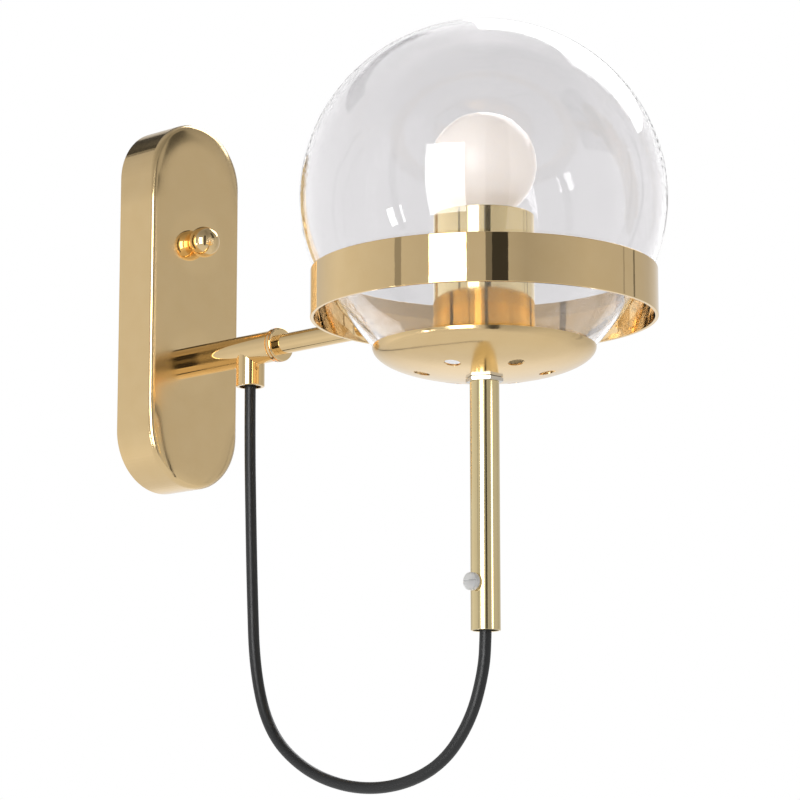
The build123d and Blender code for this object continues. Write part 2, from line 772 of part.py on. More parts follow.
with BuildPart() as bulb_tip:
    with BuildSketch(head_plane(tip_bottom)):
        Circle(bulb_tip_radius)
    extrude(amount=bulb_tip_height)
    fillet(bulb_tip.edges().filter_by(GeomType.CIRCLE).sort_by(Axis.Z)[0], bulb_tip_height / 2)
bulb_tip.part.label = "bulb_tip"

# --- Terminal block and earth screw inside the backplate ----------------------------------

with BuildPart() as terminal_block:
    with BuildSketch(WALL.offset(strap_thickness)):
        with Locations((0, block_at_height)):
            RectangleRounded(block_width, block_height, block_edge_radius)
    extrude(amount=block_depth)
    with BuildSketch(Plane.XY.offset(block_at_height - block_height / 2)):
        with Locations((0, -strap_thickness - block_depth / 2)):
            with GridLocations(block_way_spacing, 0, block_ways, 1):
                Circle(block_wire_radius)
    extrude(amount=block_height, mode=Mode.SUBTRACT)
    with BuildSketch(WALL.offset(strap_thickness + block_depth)):
        with Locations((0, block_at_height)):
            with GridLocations(block_way_spacing, 0, block_ways, 1):
                Circle(block_screw_radius + stud_fit)
    extrude(amount=-block_screw_depth, mode=Mode.SUBTRACT)
terminal_block.part.label = "terminal_block"

with BuildPart() as terminal_screws:
    with BuildSketch(WALL.offset(strap_thickness + block_depth - block_screw_inset)):
        with Locations((0, block_at_height)):
            with GridLocations(block_way_spacing, 0, block_ways, 1):
                Circle(block_screw_radius)
    extrude(amount=block_screw_inset - block_screw_depth)
terminal_screws.part.label = "terminal_screws"

earth_plane = Plane(origin=(0, 0, earth_screw_at_height), x_dir=(1, 0, 0), z_dir=(0, -1, 0))
with BuildPart() as earth_screw:
    with BuildSketch(earth_plane.offset(stud_start)):
        Circle(earth_screw_radius)
    extrude(amount=strap_thickness - stud_start)
    with BuildSketch(earth_plane.offset(strap_thickness)):
        Circle(earth_screw_head_radius)
    extrude(amount=earth_screw_head_height)
    fillet(earth_screw.faces().sort_by(Axis.Y)[0].edges(), earth_screw_head_height / 3)
earth_screw.part.label = "earth_screw"

# --- Cord ---------------------------------------------------------------------------------

# Route of the hanging loop, from the gland to the tube, as (distance from the wall, height)
cord_route = [
    (gland_reach, bush_bottom),
    (gland_reach, -84),
    (79.0, -128),
    (80.9, -176),
    (83.6, -222),
    (96, -257),
    (124, -279),
    (160, -290.5),
    (197, -291),
    (230, -280.5),
    (251, -258),
    (260.5, -232),
    (reach, -213),
    (reach, lead_bottom),
]
route = [Vector(0, -out, height) for out, height in cord_route]
runs = [after - before for before, after in zip(route, route[1:])]
bends = []
for before, after in zip(runs, runs[1:]):
    half_turn = radians(before.get_angle(after)) / 2
    bends.append(0.45 * min(before.length, after.length) / tan(half_turn))
print("cord bend radii:", [round(bend, 1) for bend in bends])
with BuildPart() as cord_loop:
    with BuildLine() as cord_path:
        FilletPolyline(*route, radius=bends)
    with BuildSketch(Plane(origin=route[0], z_dir=runs[0])):
        Circle(cord_radius)
    sweep(path=cord_path.wires()[0])
expected_volume = pi * cord_radius**2 * cord_path.wires()[0].length
print("cord length:", round(cord_path.wires()[0].length, 1))
print("cord volume over section times length:", round(cord_loop.part.volume / expected_volume, 4))
cord_loop.part.label = "cord_loop"

# --- Write the pieces ---------------------------------------------------------------------

os.makedirs("parts", exist_ok=True)
export_step(backplate.part, "parts/backplate.step")
export_step(wall_bracket.part, "parts/wall_bracket.step")
export_step(finial_stud.part, "parts/finial_stud.step")
export_step(stud_nut.part, "parts/stud_nut.step")
export_step(finial_knob.part, "parts/finial_knob.step")
export_step(arm_sleeve.part, "parts/arm_sleeve.step")
export_step(sleeve_collar.part, "parts/sleeve_collar.step")
export_step(arm_tube.part, "parts/arm_tube.step")
export_step(arm_end_plug.part, "parts/arm_end_plug.step")
export_step(ring_screw.part, "parts/ring_screw.step")
export_step(arm_nipple.part, "parts/arm_nipple.step")
export_step(arm_washer.part, "parts/arm_washer.step")
export_step(arm_lock_nut.part, "parts/arm_lock_nut.step")
export_step(cord_gland.part, "parts/cord_gland.step")
export_step(gland_bush.part, "parts/gland_bush.step")
export_step(ring_hoop.part, "parts/ring_hoop.step")
export_step(seat_band.part, "parts/seat_band.step")
export_step(glass_globe.part, "parts/glass_globe.step")
export_step(lip_gasket.part, "parts/lip_gasket.step")
export_step(vented_bowl.part, "parts/vented_bowl.step")
export_step(clamp_bridge.part, "parts/clamp_bridge.step")
export_step(bridge_nut.part, "parts/bridge_nut.step")
export_step(hex_lock_nut.part, "parts/hex_lock_nut.step")
export_step(head_nipple.part, "parts/head_nipple.step")
export_step(down_tube.part, "parts/down_tube.step")
export_step(tube_bush.part, "parts/tube_bush.step")
export_step(tube_lead.part, "parts/tube_lead.step")
export_step(cord_grip_screw.part, "parts/cord_grip_screw.step")
export_step(inner_cup.part, "parts/inner_cup.step")
export_step(holder_base.part, "parts/holder_base.step")
export_step(holder_body.part, "parts/holder_body.step")
export_step(screw_shell.part, "parts/screw_shell.step")
export_step(centre_contact.part, "parts/centre_contact.step")
export_step(bulb_envelope.part, "parts/bulb_envelope.step")
export_step(bulb_cap.part, "parts/bulb_cap.step")
export_step(bulb_insulator.part, "parts/bulb_insulator.step")
export_step(bulb_tip.part, "parts/bulb_tip.step")
export_step(terminal_block.part, "parts/terminal_block.step")
export_step(terminal_screws.part, "parts/terminal_screws.step")
export_step(earth_screw.part, "parts/earth_screw.step")
export_step(cord_loop.part, "parts/cord_loop.step")
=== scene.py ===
import math

import bpy
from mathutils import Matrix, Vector


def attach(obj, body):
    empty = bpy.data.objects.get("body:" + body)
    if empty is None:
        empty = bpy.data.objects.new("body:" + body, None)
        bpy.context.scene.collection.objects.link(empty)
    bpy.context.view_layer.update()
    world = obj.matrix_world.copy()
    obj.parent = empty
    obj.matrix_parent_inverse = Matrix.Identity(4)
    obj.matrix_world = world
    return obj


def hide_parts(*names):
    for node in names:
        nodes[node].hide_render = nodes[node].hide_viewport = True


# Globe wall sconce: gold backplate, arm and hoop, a clear glass globe over an opal bulb, and a
# black flex that hangs from the arm to the foot of the down tube.

MM = 0.001

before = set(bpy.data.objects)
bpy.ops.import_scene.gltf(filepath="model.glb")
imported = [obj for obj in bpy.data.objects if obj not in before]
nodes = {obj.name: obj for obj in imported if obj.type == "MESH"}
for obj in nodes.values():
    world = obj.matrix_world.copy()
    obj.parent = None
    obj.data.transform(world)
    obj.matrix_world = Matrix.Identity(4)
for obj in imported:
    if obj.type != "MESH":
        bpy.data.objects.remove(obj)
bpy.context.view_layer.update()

# --- Camera -------------------------------------------------------------------------------

CAMERA_PLACE = (-1.1713, -1.3322, -0.374)
CAMERA_LOOKS_ALONG = (0.7072, 0.6854, 0.1734)

camera_lens = bpy.data.cameras.new("camera")
camera_lens.sensor_width = 36.0
camera_lens.lens = 135.0
camera_lens.shift_x = 0.0029
camera_lens.shift_y = 0.01875
camera = bpy.data.objects.new("camera", camera_lens)
camera.location = CAMERA_PLACE
camera.rotation_mode = "QUATERNION"
camera.rotation_quaternion = Vector(CAMERA_LOOKS_ALONG).to_track_quat("-Z", "Y")
bpy.context.scene.collection.objects.link(camera)
bpy.context.scene.camera = camera

# --- Flex ---------------------------------------------------------------------------------

# Its route from the gland to the down tube, as (distance from the wall, height) in mm
FLEX_ROUTE = [
    (77.7, -52.2),
    (77.7, -84),
    (79.0, -128),
    (80.9, -176),
    (83.6, -222),
    (96, -257),
    (124, -279),
    (160, -290.5),
    (197, -291),
    (230, -280.5),
    (251, -258),
    (260.5, -232),
    (262, -213),
    (262, -202.8),
]
FLEX_DIAMETER = 6.5 * MM

flex_places = [(0, -out * MM, height * MM) for out, height in FLEX_ROUTE]
flex_line = bpy.data.curves.new("flex_route", "CURVE")
flex_line.dimensions = "3D"
flex_line.resolution_u = 20
flex_line.bevel_resolution = 8
flex_line.use_fill_caps = True
flex_spline = flex_line.splines.new("NURBS")
flex_spline.points.add(len(flex_places) - 1)
for point, place in zip(flex_spline.points, flex_places):
    point.co = (*place, 1)
flex_spline.order_u = 3
flex_spline.use_endpoint_u = True
flex_route = bpy.data.objects.new("flex_route", flex_line)
bpy.context.scene.collection.objects.link(flex_route)


def flex_mesh(thickness):
    """The flex's route as a mesh: a tube, or with no thickness the line that it follows."""
    flex_line.bevel_depth = thickness / 2
    flex_route.update_tag()
    bpy.context.view_layer.update()
    shown = flex_route.evaluated_get(bpy.context.evaluated_depsgraph_get())
    return bpy.data.meshes.new_from_object(shown)


flex_path = [tuple(vertex.co) for vertex in flex_mesh(0).vertices]
flex = bpy.data.objects.new("flex", flex_mesh(FLEX_DIAMETER))
bpy.context.scene.collection.objects.link(flex)
bpy.data.objects.remove(flex_route)
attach(flex, "wall_side")
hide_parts("cord_loop")


# --- Small helpers ------------------------------------------------------------------------


def linear(hex_colour):
    """An sRGB colour such as "#EDCE99" as linear RGBA."""
    channels = [int(hex_colour[i : i + 2], 16) / 255 for i in (1, 3, 5)]
    return (*[c / 12.92 if c <= 0.04045 else ((c + 0.055) / 1.055) ** 2.4 for c in channels], 1.0)


def add(tree, kind, inputs=None, **settings):
    """Adds a node. An input's value is a plain value, or another node's output to link to it."""
    node = tree.nodes.new(kind)
    for name, value in settings.items():
        setattr(node, name, value)
    for name, value in (inputs or {}).items():
        if isinstance(value, bpy.types.NodeSocket):
            tree.links.new(value, node.inputs[name])
        else:
            node.inputs[name].default_value = value
    return node


def spots_of(size):
    """The scale of a noise pattern whose spots are about this many mm across."""
    return 1 / (size * MM)


def new_material(name):
    """An empty material with its tree, its output node and the object's own coordinates."""
    made = bpy.data.materials.new(name)
    made.use_nodes = True
    made.node_tree.nodes.clear()
    output = add(made.node_tree, "ShaderNodeOutputMaterial")
    place = add(made.node_tree, "ShaderNodeTexCoord").outputs["Object"]
    return made, made.node_tree, output, place


def finish_shader(tree, output, inputs):
    """The material's one surface shader."""
    shader = add(tree, "ShaderNodeBsdfPrincipled", inputs)
    tree.links.new(shader.outputs["BSDF"], output.inputs["Surface"])
    return shader


def grained_finish(name, grain_size, detail, inputs, haze=None, relief=0.0, relief_depth=0.2):
    """A finish with one even grain, sized in mm. The grain moves the roughness between the two
    values of haze, and stands up as a relief of the given strength."""
    made, tree, output, place = new_material(name)
    grain = add(
        tree, "ShaderNodeTexNoise", {"Vector": place, "Scale": spots_of(grain_size), "Detail": detail}
    ).outputs["Fac"]
    inputs = dict(inputs)
    if haze:
        haze_range = add(tree, "ShaderNodeMapRange", {"Value": grain, "To Min": haze[0], "To Max": haze[1]})
        inputs["Roughness"] = haze_range.outputs["Result"]
    if relief:
        bump = add(
            tree, "ShaderNodeBump", {"Height": grain, "Strength": relief, "Distance": relief_depth * MM}
        )
        inputs["Normal"] = bump.outputs["Normal"]
    finish_shader(tree, output, inputs)
    return made


def dress(material, *names):
    """Gives CAD nodes their finish."""
    for name in names:
        for slot in nodes[name].material_slots:
            slot.material = material


# --- Gold ---------------------------------------------------------------------------------

# Gold plated brass under clear lacquer. The slow waver of hand buffing bends reflections a little,
# and a fine haze, drawn coarser than it is so that it shows, takes the hardness off them.
GOLD = ("#EFD2A0", "#EACB96")  # lightest and deepest
PALE_GOLD = ("#ECD9A9", "#E8D2A0")
BUFFING_SIZE = 11.11  # mm
HAZE_SIZE = 2.381  # mm
WAVER_DEPTH = 0.6 * MM


def gold_finish(name, least_haze, most_haze, waviness, tints=GOLD):
    """Gold plate whose roughness wanders between two values. Returns the material and its nodes."""
    made, tree, output, place = new_material(name)
    buffing = add(
        tree, "ShaderNodeTexNoise", {"Vector": place, "Scale": spots_of(BUFFING_SIZE), "Detail": 2.0}
    )
    haze = add(tree, "ShaderNodeTexNoise", {"Vector": place, "Scale": spots_of(HAZE_SIZE), "Detail": 3.0})
    haze_range = add(
        tree, "ShaderNodeMapRange", {"Value": haze.outputs["Fac"], "To Min": least_haze, "To Max": most_haze}
    )
    waver = add(
        tree,
        "ShaderNodeBump",
        {"Height": buffing.outputs["Fac"], "Strength": waviness, "Distance": WAVER_DEPTH},
    )
    tint = add(
        tree,
        "ShaderNodeMix",
        {0: buffing.outputs["Fac"], 6: linear(tints[0]), 7: linear(tints[1])},
        data_type="RGBA",
    )
    shader = finish_shader(
        tree,
        output,
        {
            "Base Color": tint.outputs[2],
            "Metallic": 1.0,
            "Roughness": haze_range.outputs["Result"],
            "Normal": waver.outputs["Normal"],
        },
    )
    return made, tree, place, shader, haze_range, waver


# Polished to a mirror: arm, hoop and finial
polished_gold = gold_finish("gold_plated_brass_polished", 0.018, 0.05, 0.04)[0]
# Spun and brushed to a satin: the bowl
spun_gold = gold_finish("gold_plated_brass_spun", 0.12, 0.16, 0.02)[0]
# Spun or drawn, then buffed, with a paler plate: the cup and the down tube
buffed_gold = gold_finish("gold_plated_brass_buffed", 0.06, 0.11, 0.03, PALE_GOLD)[0]

# Drawn plate with a satin face, whose edge rolls over gently at its two round ends. It is polished
# round its two fixings, where the finial and the arm are mirrored in it, and less so on the roll.
FIXING_HEIGHTS = (37.5 * MM, -34.0 * MM)
POLISHED_WITHIN = 13.0 * MM
SATIN_BEYOND = 23.0 * MM
POLISHED_HAZE = 0.05
ROLL_POLISH = 0.55  # 0 leaves the rim as satin as the face, 1 makes it a mirror
PLATE_HALF_WIDTH = 34.5 * MM
PLATE_END_HEIGHT = 76.0 * MM
ROLL_WIDTH = 16.0 * MM
ROLL_DEPTH = 3.0 * MM
ROLL_STEEPENING = 3.0  # power of its curve
ROLL_STARTS_AT_HEIGHT = 58.0 * MM
ROLL_FULL_AT_HEIGHT = 86.0 * MM
POLISH_STARTS_AT = 0.45  # share of the way up the roll
POLISH_FULL_AT = 0.85

satin_gold, tree, place, shader, satin, waver = gold_finish("gold_plated_brass_satin", 0.21, 0.25, 0.02)

# How satin the face is, by its distance from the nearer fixing
flat_place = add(tree, "ShaderNodeVectorMath", {0: place, 1: (1, 0, 1)}, operation="MULTIPLY").outputs[0]
from_fixings = [
    add(tree, "ShaderNodeVectorMath", {0: flat_place, 1: (0, 0, height)}, operation="DISTANCE")
    for height in FIXING_HEIGHTS
]
nearest = add(
    tree,
    "ShaderNodeMath",
    {0: from_fixings[0].outputs["Value"], 1: from_fixings[1].outputs["Value"]},
    operation="MINIMUM",
)
satin_share = add(
    tree,
    "ShaderNodeMapRange",
    {"Value": nearest.outputs[0], "From Min": POLISHED_WITHIN, "From Max": SATIN_BEYOND},
    interpolation_type="SMOOTHSTEP",
)

# How far a point lies up the roll, from 0 at its start to 1 at the rim
sides = add(tree, "ShaderNodeSeparateXYZ", {0: place})
up_or_down = add(tree, "ShaderNodeMath", {0: sides.outputs["Z"]}, operation="ABSOLUTE")
past_end = add(
    tree, "ShaderNodeMath", {0: up_or_down.outputs[0], 1: PLATE_END_HEIGHT}, operation="SUBTRACT"
)
round_end = add(tree, "ShaderNodeMath", {0: past_end.outputs[0], 1: 0.0}, operation="MAXIMUM")
from_middle = add(tree, "ShaderNodeCombineXYZ", {"X": sides.outputs["X"], "Y": round_end.outputs[0]})
outwards = add(tree, "ShaderNodeVectorMath", {0: from_middle.outputs[0]}, operation="LENGTH")
roll = add(
    tree,
    "ShaderNodeMapRange",
    {
        "Value": outwards.outputs["Value"],
        "From Min": PLATE_HALF_WIDTH - ROLL_WIDTH,
        "From Max": PLATE_HALF_WIDTH,
    },
)
at_ends = add(
    tree,
    "ShaderNodeMapRange",
    {
        "Value": up_or_down.outputs[0],
        "From Min": ROLL_STARTS_AT_HEIGHT,
        "From Max": ROLL_FULL_AT_HEIGHT,
    },
    interpolation_type="SMOOTHSTEP",
)

# The roll is more polished towards the rim
rim_share = add(
    tree,
    "ShaderNodeMapRange",
    {"Value": roll.outputs["Result"], "From Min": POLISH_STARTS_AT, "From Max": POLISH_FULL_AT},
    interpolation_type="SMOOTHSTEP",
)
rim_polish = add(
    tree,
    "ShaderNodeMath",
    {0: rim_share.outputs["Result"], 1: at_ends.outputs["Result"]},
    operation="MULTIPLY",
)
satin_left = add(
    tree,
    "ShaderNodeMath",
    {0: rim_polish.outputs[0], 1: -ROLL_POLISH, 2: 1.0},
    operation="MULTIPLY_ADD",
)
satin_amount = add(
    tree, "ShaderNodeMath", {0: satin_share.outputs["Result"], 1: satin_left.outputs[0]}, operation="MULTIPLY"
)
face_haze = add(
    tree,
    "ShaderNodeMix",
    {0: satin_amount.outputs[0], 2: POLISHED_HAZE, 3: satin.outputs["Result"]},
    data_type="FLOAT",
)
tree.links.new(face_haze.outputs[0], shader.inputs["Roughness"])

# and falls away in a curve that steepens outwards
roll_curve = add(
    tree, "ShaderNodeMath", {0: roll.outputs["Result"], 1: ROLL_STEEPENING}, operation="POWER"
)
end_roll = add(
    tree, "ShaderNodeMath", {0: roll_curve.outputs[0], 1: at_ends.outputs["Result"]}, operation="MULTIPLY"
)
rolled = add(
    tree,
    "ShaderNodeBump",
    {
        "Height": end_roll.outputs[0],
        "Strength": 1.0,
        "Distance": ROLL_DEPTH,
        "Normal": waver.outputs["Normal"],
    },
    invert=True,
)
tree.links.new(rolled.outputs["Normal"], shader.inputs["Normal"])

# --- Glass, steel, plastics and rubber ----------------------------------------------------

# Clear blown glass, fire polished: no grain, a faint grey in the thickness of the wall
clear_glass, tree, output, place = new_material("blown_glass_clear")
finish_shader(
    tree,
    output,
    {
        "Base Color": linear("#EDECED"),
        "Roughness": 0.0,
        "IOR": 1.47,
        "Transmission Weight": 1.0,
    },
)

# Opal glass, acid frosted inside: an even milky white that glows softly
opal_glass = grained_finish(
    "opal_glass_milk_white",
    grain_size=16.67,
    detail=2.0,
    haze=(0.10, 0.16),
    inputs={
        "Base Color": linear("#F6F1EA"),
        "Subsurface Weight": 0.25,
        "Subsurface Radius": (0.006, 0.005, 0.004),
        "Subsurface Scale": 1.0,
        "Emission Color": linear("#FFF6EE"),
        "Emission Strength": 0.34,
    },
)

# Steel, zinc plated and passivated: pale grey with a soft blotchy gloss
zinc_steel = grained_finish(
    "zinc_plated_steel",
    grain_size=3.333,
    detail=4.0,
    haze=(0.22, 0.38),
    relief=0.08,
    relief_depth=0.3,
    inputs={"Base Color": linear("#CFD0D0"), "Metallic": 1.0},
)

# Brass, nickel plated, spun: a warm grey mirror with a slight haze
nickel = grained_finish(
    "nickel_plated_brass",
    grain_size=4.0,
    detail=3.0,
    haze=(0.12, 0.24),
    inputs={"Base Color": linear("#D3CEC4"), "Metallic": 1.0},
)

# Vitrite, the black glass insulator of a screw cap: near black with a wet gloss
black_glass = grained_finish(
    "black_vitrite_glass",
    grain_size=5.0,
    detail=2.0,
    relief=0.1,
    inputs={"Base Color": linear("#141416"), "Roughness": 0.12, "IOR": 1.55},
)

# PVC sheath, extruded: satin black, with the faint drag of the die along it. Its grain is drawn
# coarser than it is, so that it shows.
black_pvc, tree, output, place = new_material("black_pvc_sheath")
grain = add(tree, "ShaderNodeTexNoise", {"Vector": place, "Scale": spots_of(1.111), "Detail": 3.0})
drag = add(tree, "ShaderNodeTexNoise", {"Vector": place, "Scale": spots_of(8.333), "Detail": 2.0})
drag_range = add(tree, "ShaderNodeMapRange", {"Value": drag.outputs["Fac"], "To Min": 0.34, "To Max": 0.50})
grain_bump = add(
    tree, "ShaderNodeBump", {"Height": grain.outputs["Fac"], "Strength": 0.12, "Distance": 0.2 * MM}
)
finish_shader(
    tree,
    output,
    {
        "Base Color": linear("#1E1F20"),
        "Roughness": drag_range.outputs["Result"],
        "IOR": 1.52,
        "Normal": grain_bump.outputs["Normal"],
    },
)

# Nylon 6, moulded clear: a slightly milky water-clear plastic
clear_nylon = grained_finish(
    "clear_nylon_moulded",
    grain_size=2.5,
    detail=2.0,
    haze=(0.3, 0.45),
    inputs={"Base Color": linear("#F3F3F3"), "IOR": 1.53, "Transmission Weight": 0.35},
)

# Silicone rubber, clear: a soft band that lets nearly all the light by, with a weak haze
clear_silicone = grained_finish(
    "clear_silicone_rubber",
    grain_size=2.0,
    detail=2.0,
    haze=(0.25, 0.4),
    inputs={"Base Color": linear("#F2F2F0"), "IOR": 1.41, "Alpha": 0.07},
)

# Rubber, moulded: matt black with a fine tooth
black_rubber = grained_finish(
    "black_rubber_moulded",
    grain_size=0.8333,
    detail=3.0,
    relief=0.25,
    inputs={"Base Color": linear("#1A1A1A"), "Roughness": 0.7, "IOR": 1.5},
)

# Thermoset lampholder plastic, moulded: warm white with a low sheen
lampholder_plastic = grained_finish(
    "lampholder_white_thermoset",
    grain_size=1.429,
    detail=3.0,
    haze=(0.3, 0.42),
    relief=0.1,
    inputs={"Base Color": linear("#E9E6DE"), "IOR": 1.5},
)

# Polyamide terminal block, moulded: off-white, faintly translucent
terminal_plastic = grained_finish(
    "terminal_polyamide",
    grain_size=1.25,
    detail=3.0,
    haze=(0.35, 0.5),
    inputs={
        "Base Color": linear("#E4E3DC"),
        "IOR": 1.53,
        "Subsurface Weight": 0.2,
        "Subsurface Radius": (0.002, 0.002, 0.0018),
        "Subsurface Scale": 1.0,
    },
)

# --- What wears which finish --------------------------------------------------------------

dress(satin_gold, "backplate")
dress(spun_gold, "vented_bowl")
dress(buffed_gold, "inner_cup", "down_tube")
dress(
    polished_gold,
    "arm_sleeve",
    "sleeve_collar",
    "arm_tube",
    "arm_end_plug",
    "cord_gland",
    "ring_hoop",
    "finial_knob",
    "tube_bush",
    "ring_screw",
)
dress(
    zinc_steel,
    "wall_bracket",
    "finial_stud",
    "stud_nut",
    "arm_nipple",
    "arm_washer",
    "arm_lock_nut",
    "clamp_bridge",
    "bridge_nut",
    "hex_lock_nut",
    "head_nipple",
    "terminal_screws",
    "earth_screw",
)
dress(clear_glass, "glass_globe")
dress(opal_glass, "bulb_envelope")
dress(nickel, "bulb_cap", "bulb_tip", "screw_shell", "centre_contact")
dress(black_glass, "bulb_insulator")
dress(lampholder_plastic, "holder_base", "holder_body")
dress(terminal_plastic, "terminal_block")
dress(clear_nylon, "cord_grip_screw")
dress(clear_silicone, "seat_band", "lip_gasket")
dress(black_rubber, "gland_bush")
dress(black_pvc, "tube_lead")
flex.data.materials.append(black_pvc)

# --- Screw threads ------------------------------------------------------------------------


def thread_tree():
    """Geometry Nodes: a screw thread, one sharp ridge that winds up the Z axis."""
    tree = bpy.data.node_groups.new("screw_thread", "GeometryNodeTree")
    for label in ("Radius", "Pitch", "Length", "Depth"):
        tree.interface.new_socket(label, in_out="INPUT", socket_type="NodeSocketFloat")
    for label in ("Start", "Turn"):
        tree.interface.new_socket(label, in_out="INPUT", socket_type="NodeSocketVector")
    tree.interface.new_socket("Finish", in_out="INPUT", socket_type="NodeSocketMaterial")
    tree.interface.new_socket("Geometry", in_out="OUTPUT", socket_type="NodeSocketGeometry")
    given = add(tree, "NodeGroupInput").outputs
    turns = add(tree, "ShaderNodeMath", {0: given["Length"], 1: given["Pitch"]}, operation="DIVIDE")
    winding = add(
        tree,
        "GeometryNodeCurveSpiral",
        {
            "Resolution": 28,
            "Rotations": turns.outputs[0],
            "Start Radius": given["Radius"],
            "End Radius": given["Radius"],
            "Height": given["Length"],
        },
    )
    upright = add(tree, "GeometryNodeSetCurveNormal", {"Curve": winding.outputs["Curve"]}, mode="Z_UP")
    profile = add(tree, "GeometryNodeCurvePrimitiveCircle", {"Resolution": 4, "Radius": given["Depth"]})
    ridge = add(
        tree,
        "GeometryNodeCurveToMesh",
        {"Curve": upright.outputs["Curve"], "Profile Curve": profile.outputs["Curve"], "Fill Caps": True},
    )
    placed = add(
        tree,
        "GeometryNodeTransform",
        {"Geometry": ridge.outputs["Mesh"], "Translation": given["Start"], "Rotation": given["Turn"]},
    )
    real = add(tree, "GeometryNodeRealizeInstances", {"Geometry": placed.outputs["Geometry"]})
    finish = add(
        tree, "GeometryNodeSetMaterial", {"Geometry": real.outputs["Geometry"], "Material": given["Finish"]}
    )
    add(tree, "NodeGroupOutput", {"Geometry": finish.outputs["Geometry"]})
    return tree


screw_thread = thread_tree()
socket_names = {item.name: item.identifier for item in screw_thread.interface.items_tree}
OUT_FROM_WALL = (math.pi / 2, 0, 0)
UPWARDS = (0, 0, 0)
# (piece, body, where it starts in mm, which way it winds, radius, pitch, length and depth in mm)
THREADS = [
    ("finial_stud_thread", "wall_side", (0, -7.0, 37.5), OUT_FROM_WALL, 2.4, 0.8, 20.5, 0.3),
    ("arm_nipple_thread", "wall_side", (0, -21.0, -34.0), OUT_FROM_WALL, 4.9, 1.0, 3.0, 0.35),
    ("head_nipple_thread", "globe_head", (0, -262.0, -73.8), UPWARDS, 4.9, 1.0, 14.0, 0.35),
]
for name, body, begin, turn, radius, pitch, length, depth in THREADS:
    wound = bpy.data.objects.new(name + "_made", bpy.data.meshes.new(name + "_made"))
    bpy.context.scene.collection.objects.link(wound)
    modifier = wound.modifiers.new("thread", "NODES")
    modifier.node_group = screw_thread
    for label, value in (
        ("Radius", radius * MM),
        ("Pitch", pitch * MM),
        ("Length", length * MM),
        ("Depth", depth * MM),
        ("Start", [value * MM for value in begin]),
        ("Turn", turn),
        ("Finish", zinc_steel),
    ):
        modifier[socket_names[label]] = value
    bpy.context.view_layer.update()
    made = bpy.data.meshes.new_from_object(wound.evaluated_get(bpy.context.evaluated_depsgraph_get()))
    bpy.data.objects.remove(wound)
    thread = bpy.data.objects.new(name, made)
    bpy.context.scene.collection.objects.link(thread)
    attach(thread, body)

# --- Floor --------------------------------------------------------------------------------

# A pale disc well below the lamp, which fades out into the white round it
FLOOR_HEIGHT = -0.6
FLOOR_RADIUS = 1.3
FLOOR_SIDES = 96
FLOOR_FADES_FROM = 0.75
FLOOR_GONE_BY = 1.2
FLOOR_GLOW = 0.75
FLOOR_GLOW_SHARE = 0.65  # the rest is matt, and takes the object's shadow; in a mirror all is glow

floor_mesh = bpy.data.meshes.new("floor")
corners = [math.tau * i / FLOOR_SIDES for i in range(FLOOR_SIDES)]
rim = [(FLOOR_RADIUS * math.cos(a), FLOOR_RADIUS * math.sin(a), FLOOR_HEIGHT) for a in corners]
floor_mesh.from_pydata(rim, [], [list(range(FLOOR_SIDES))])
floor = bpy.data.objects.new("floor", floor_mesh)
bpy.context.scene.collection.objects.link(floor)

floor_paint, tree, output, place = new_material("studio_floor_white")
distance = add(tree, "ShaderNodeVectorMath", {0: place}, operation="LENGTH")
fade = add(
    tree,
    "ShaderNodeMapRange",
    {"Value": distance.outputs["Value"], "From Min": FLOOR_FADES_FROM, "From Max": FLOOR_GONE_BY},
    interpolation_type="SMOOTHSTEP",
)
matt = add(tree, "ShaderNodeBsdfDiffuse", {"Color": linear("#F4F3F1")})
bright = add(tree, "ShaderNodeEmission", {"Color": linear("#FFFFFF"), "Strength": FLOOR_GLOW})
floor_rays = add(tree, "ShaderNodeLightPath")
glow_share = add(
    tree,
    "ShaderNodeMath",
    {0: floor_rays.outputs["Is Glossy Ray"], 1: FLOOR_GLOW_SHARE},
    operation="MAXIMUM",
)
floor_face = add(
    tree,
    "ShaderNodeMixShader",
    {0: glow_share.outputs[0], 1: matt.outputs["BSDF"], 2: bright.outputs["Emission"]},
)
nothing = add(tree, "ShaderNodeBsdfTransparent")
floor_mix = add(
    tree,
    "ShaderNodeMixShader",
    {0: fade.outputs["Result"], 1: floor_face.outputs["Shader"], 2: nothing.outputs["BSDF"]},
)
tree.links.new(floor_mix.outputs["Shader"], output.inputs["Surface"])
floor_mesh.materials.append(floor_paint)

# --- Room light ---------------------------------------------------------------------------

# The room round the lamp, as brightness by direction: pale walls, a tall softbox beside the
# camera, the camera's own dark shape, and a long lamp behind and above. The background itself
# is plain white to the camera, and through the glass.
WALL_LEVELS = [  # (azimuth in degrees from +X, brightness)
    (-180, 0.6),
    (-140, 0.6),
    (-110, 0.45),  # dimmest right of the camera
    (-65, 0.6),
    (0, 0.55),
    (45, 0.9),  # lightest behind, on the right
    (70, 0.6),
    (110, 0.8),
    (180, 0.6),
]
HEIGHT_LEVELS = [  # (sine of the elevation, share of the wall's brightness)
    (-1.0, 1.2),
    (-0.3, 1.1),
    (-0.05, 1.0),
    (0.2, 1.0),
    (0.5, 0.78),
    (0.7, 0.58),
    (1.0, 0.50),
]
